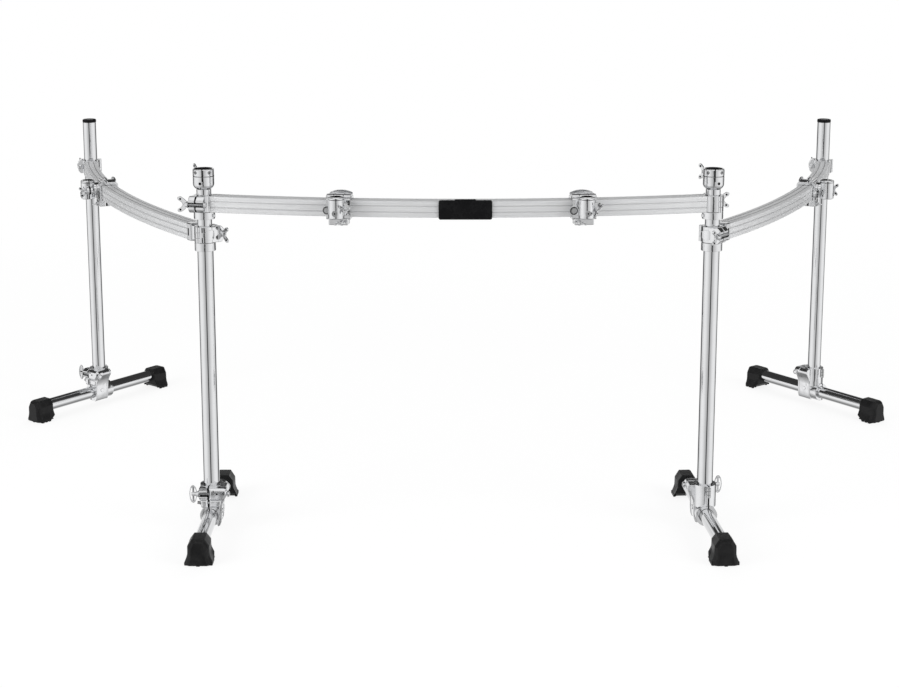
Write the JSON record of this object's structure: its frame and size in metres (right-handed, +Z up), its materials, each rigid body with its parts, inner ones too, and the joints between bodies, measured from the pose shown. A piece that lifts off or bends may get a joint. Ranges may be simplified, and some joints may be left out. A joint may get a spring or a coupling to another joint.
{
  "type": "drum rack frame",
  "caption": "Three-sided curved drum rack frame: grooved square rails clamped to chrome tube legs on T-feet with rubber boots, with travelling accessory clamps.",
  "frame": {"origin": "floor level, below the middle of the bounding box", "axes": "+X to the right as the audience sees the rack, along its width; +Y away from the audience; +Z up"},
  "size_m": [2.5008, 1.5054, 0.8825],
  "materials": {
    "chrome_tube": "polished",
    "chrome_casting": "plated casting",
    "aluminium": "satin",
    "rubber": "matt",
    "black_plastic": "matt"
  },
  "bodies": {
    "front_rail": {"front_rail": "aluminium", "name_plate": "black_plastic", "front_rail_left_clamp": "chrome_casting", "front_rail_right_clamp": "chrome_casting"},
    "front_rail_left_clamp_wing_bolt": {"front_rail_left_clamp_wing_bolt": "chrome_casting"},
    "front_rail_right_clamp_wing_bolt": {"front_rail_right_clamp_wing_bolt": "chrome_casting"},
    "front_clamp_left_jaw": {"front_clamp_left_jaw": "chrome_casting"},
    "front_clamp_left_receiver": {"front_clamp_left_receiver": "chrome_casting"},
    "front_clamp_right_jaw": {"front_clamp_right_jaw": "chrome_casting"},
    "front_clamp_right_receiver": {"front_clamp_right_receiver": "chrome_casting"},
    "mast_left": {"mast_left": "chrome_casting", "stop_ring_left": "chrome_casting"},
    "mast_wing_screw_left": {"mast_wing_screw_left": "chrome_casting"},
    "inner_leg_left": {"inner_leg_left": "chrome_tube"},
    "inner_foot_left": {"inner_foot_left_clamp": "chrome_casting", "inner_foot_left_clamp_gate": "chrome_casting", "inner_foot_left_tube": "chrome_tube", "inner_foot_left_boot_front": "rubber", "inner_foot_left_boot_rear": "rubber"},
    "inner_foot_left_wing_bolt": {"inner_foot_left_wing_bolt": "chrome_casting"},
    "side_rail_left": {"side_rail_left": "aluminium", "side_rail_left_inner_clamp": "chrome_casting", "side_rail_left_outer_clamp": "chrome_casting"},
    "side_rail_left_inner_clamp_wing_bolt": {"side_rail_left_inner_clamp_wing_bolt": "chrome_casting"},
    "side_rail_left_outer_clamp_wing_bolt": {"side_rail_left_outer_clamp_wing_bolt": "chrome_casting"},
    "side_clamp_left_jaw": {"side_clamp_left_jaw": "chrome_casting"},
    "side_clamp_left_receiver": {"side_clamp_left_receiver": "chrome_casting"},
    "outer_leg_left": {"outer_leg_left": "chrome_tube", "outer_leg_cap_left": "black_plastic"},
    "outer_foot_left": {"outer_foot_left_clamp": "chrome_casting", "outer_foot_left_clamp_gate": "chrome_casting", "outer_foot_left_tube": "chrome_tube", "outer_foot_left_boot_front": "rubber", "outer_foot_left_boot_rear": "rubber"},
    "outer_foot_left_wing_bolt": {"outer_foot_left_wing_bolt": "chrome_casting"},
    "mast_right": {"mast_right": "chrome_casting", "stop_ring_right": "chrome_casting"},
    "mast_wing_screw_right": {"mast_wing_screw_right": "chrome_casting"},
    "inner_leg_right": {"inner_leg_right": "chrome_tube"},
    "inner_foot_right": {"inner_foot_right_clamp": "chrome_casting", "inner_foot_right_clamp_gate": "chrome_casting", "inner_foot_right_tube": "chrome_tube", "inner_foot_right_boot_front": "rubber", "inner_foot_right_boot_rear": "rubber"},
    "inner_foot_right_wing_bolt": {"inner_foot_right_wing_bolt": "chrome_casting"},
    "side_rail_right": {"side_rail_right": "aluminium", "side_rail_right_inner_clamp": "chrome_casting", "side_rail_right_outer_clamp": "chrome_casting"},
    "side_rail_right_inner_clamp_wing_bolt": {"side_rail_right_inner_clamp_wing_bolt": "chrome_casting"},
    "side_rail_right_outer_clamp_wing_bolt": {"side_rail_right_outer_clamp_wing_bolt": "chrome_casting"},
    "side_clamp_right_jaw": {"side_clamp_right_jaw": "chrome_casting"},
    "side_clamp_right_receiver": {"side_clamp_right_receiver": "chrome_casting"},
    "outer_leg_right": {"outer_leg_right": "chrome_tube", "outer_leg_cap_right": "black_plastic"},
    "outer_foot_right": {"outer_foot_right_clamp": "chrome_casting", "outer_foot_right_clamp_gate": "chrome_casting", "outer_foot_right_tube": "chrome_tube", "outer_foot_right_boot_front": "rubber", "outer_foot_right_boot_rear": "rubber"},
    "outer_foot_right_wing_bolt": {"outer_foot_right_wing_bolt": "chrome_casting"}
  },
  "joints": [
    {"name": "front_rail_left_clamp_wing_bolt_turn", "type": "hinge", "parent": "front_rail", "child": "front_rail_left_clamp_wing_bolt", "pos_m": [-0.59757, -0.52953, 0.795], "axis": [0.9729, -0.231, 0], "continuous": true},
    {"name": "front_rail_right_clamp_wing_bolt_turn", "type": "hinge", "parent": "front_rail", "child": "front_rail_right_clamp_wing_bolt", "pos_m": [0.58643, -0.46921, 0.795], "axis": [-0.9729, -0.231, 0], "continuous": true},
    {"name": "front_clamp_left_travel", "type": "hinge", "parent": "front_rail", "child": "front_clamp_left_jaw", "pos_m": [0.00159, 1.89864, 0.795], "axis": [0, 0, 1], "range_deg": [-5.7, 4.1]},
    {"name": "front_clamp_left_swivel", "type": "hinge", "parent": "front_clamp_left_jaw", "child": "front_clamp_left_receiver", "pos_m": [-0.27086, -0.55629, 0.803], "axis": [-0.1103, -0.9939, 0], "continuous": true},
    {"name": "front_clamp_right_travel", "type": "hinge", "parent": "front_rail", "child": "front_clamp_right_jaw", "pos_m": [0.00159, 1.89864, 0.795], "axis": [0, 0, 1], "range_deg": [-3.8, 5.4]},
    {"name": "front_clamp_right_swivel", "type": "hinge", "parent": "front_clamp_right_jaw", "child": "front_clamp_right_receiver", "pos_m": [0.28596, -0.55494, 0.803], "axis": [0.1151, -0.9934, 0], "continuous": true},
    {"name": "mast_left_slide", "type": "slide", "parent": "front_rail", "child": "mast_left", "axis": [0, 0, 1], "range_m": [-0.014, 0]},
    {"name": "mast_wing_screw_left_turn", "type": "hinge", "parent": "mast_left", "child": "mast_wing_screw_left", "pos_m": [-0.59041, -0.49937, 0.864], "axis": [-0.6018, 0.7986, 0], "continuous": true},
    {"name": "inner_leg_left_height", "type": "slide", "parent": "mast_left", "child": "inner_leg_left", "axis": [0, 0, 1], "range_m": [-0.25, 0]},
    {"name": "inner_foot_left_swivel", "type": "hinge", "parent": "inner_leg_left", "child": "inner_foot_left", "pos_m": [-0.59041, -0.49937, 0.04], "axis": [0, 0, 1], "range_deg": [-90, 90]},
    {"name": "inner_foot_left_wing_bolt_turn", "type": "hinge", "parent": "inner_foot_left", "child": "inner_foot_left_wing_bolt", "pos_m": [-0.59041, -0.53337, 0.096], "axis": [1, 0, 0], "continuous": true},
    {"name": "side_rail_left_swing", "type": "hinge", "parent": "mast_left", "child": "side_rail_left", "pos_m": [-0.59041, -0.49937, 0.722], "axis": [0, 0, 1], "range_deg": [-35, 40]},
    {"name": "side_rail_left_inner_clamp_wing_bolt_turn", "type": "hinge", "parent": "side_rail_left", "child": "side_rail_left_inner_clamp_wing_bolt", "pos_m": [-0.56583, -0.48047, 0.722], "axis": [-0.6095, 0.7928, 0], "continuous": true},
    {"name": "side_rail_left_outer_clamp_wing_bolt_turn", "type": "hinge", "parent": "side_rail_left", "child": "side_rail_left_outer_clamp_wing_bolt", "pos_m": [-1.10247, 0.52714, 0.722], "axis": [0.2155, -0.9765, 0], "continuous": true},
    {"name": "side_clamp_left_travel", "type": "hinge", "parent": "side_rail_left", "child": "side_clamp_left_jaw", "pos_m": [1.34685, 1.03292, 0.722], "axis": [0, 0, 1], "range_deg": [-7.8, 13.2]},
    {"name": "side_clamp_left_swivel", "type": "hinge", "parent": "side_clamp_left_jaw", "child": "side_clamp_left_receiver", "pos_m": [-0.9379, 0.09441, 0.73], "axis": [-0.925, -0.38, 0], "continuous": true},
    {"name": "outer_leg_left_height", "type": "slide", "parent": "side_rail_left", "child": "outer_leg_left", "axis": [0, 0, 1], "range_m": [-0.1, 0.25]},
    {"name": "outer_foot_left_swivel", "type": "hinge", "parent": "outer_leg_left", "child": "outer_foot_left", "pos_m": [-1.0722, 0.53382, 0.04], "axis": [0, 0, 1], "range_deg": [-90, 90]},
    {"name": "outer_foot_left_wing_bolt_turn", "type": "hinge", "parent": "outer_foot_left", "child": "outer_foot_left_wing_bolt", "pos_m": [-1.09313, 0.50703, 0.096], "axis": [0.788, -0.6157, 0], "continuous": true},
    {"name": "mast_right_slide", "type": "slide", "parent": "front_rail", "child": "mast_right", "axis": [0, 0, 1], "range_m": [-0.014, 0]},
    {"name": "mast_wing_screw_right_turn", "type": "hinge", "parent": "mast_right", "child": "mast_wing_screw_right", "pos_m": [0.59359, -0.49937, 0.864], "axis": [-0.6018, 0.7986, 0], "continuous": true},
    {"name": "inner_leg_right_height", "type": "slide", "parent": "mast_right", "child": "inner_leg_right", "axis": [0, 0, 1], "range_m": [-0.25, 0]},
    {"name": "inner_foot_right_swivel", "type": "hinge", "parent": "inner_leg_right", "child": "inner_foot_right", "pos_m": [0.59359, -0.49937, 0.04], "axis": [0, 0, 1], "range_deg": [-90, 90]},
    {"name": "inner_foot_right_wing_bolt_turn", "type": "hinge", "parent": "inner_foot_right", "child": "inner_foot_right_wing_bolt", "pos_m": [0.59151, -0.46543, 0.096], "axis": [-0.9981, -0.061, 0], "continuous": true},
    {"name": "side_rail_right_swing", "type": "hinge", "parent": "mast_right", "child": "side_rail_right", "pos_m": [0.59359, -0.49937, 0.722], "axis": [0, 0, 1], "range_deg": [-40, 35]},
    {"name": "side_rail_right_inner_clamp_wing_bolt_turn", "type": "hinge", "parent": "side_rail_right", "child": "side_rail_right_inner_clamp_wing_bolt", "pos_m": [0.61817, -0.51826, 0.722], "axis": [0.6095, 0.7928, 0], "continuous": true},
    {"name": "side_rail_right_outer_clamp_wing_bolt_turn", "type": "hinge", "parent": "side_rail_right", "child": "side_rail_right_outer_clamp_wing_bolt", "pos_m": [1.0451, 0.54051, 0.722], "axis": [-0.2155, -0.9765, 0], "continuous": true},
    {"name": "side_clamp_right_travel", "type": "hinge", "parent": "side_rail_right", "child": "side_clamp_right_jaw", "pos_m": [-1.34368, 1.03292, 0.722], "axis": [0, 0, 1], "range_deg": [-13.2, 7.8]},
    {"name": "side_clamp_right_swivel", "type": "hinge", "parent": "side_clamp_right_jaw", "child": "side_clamp_right_receiver", "pos_m": [0.94108, 0.09441, 0.73], "axis": [0.925, -0.38, 0], "continuous": true},
    {"name": "outer_leg_right_height", "type": "slide", "parent": "side_rail_right", "child": "outer_leg_right", "axis": [0, 0, 1], "range_m": [-0.1, 0.25]},
    {"name": "outer_foot_right_swivel", "type": "hinge", "parent": "outer_leg_right", "child": "outer_foot_right", "pos_m": [1.07537, 0.53382, 0.04], "axis": [0, 0, 1], "range_deg": [-90, 90]},
    {"name": "outer_foot_right_wing_bolt_turn", "type": "hinge", "parent": "outer_foot_right", "child": "outer_foot_right_wing_bolt", "pos_m": [1.05491, 0.56098, 0.096], "axis": [-0.7986, -0.6018, 0], "continuous": true}
  ]
}
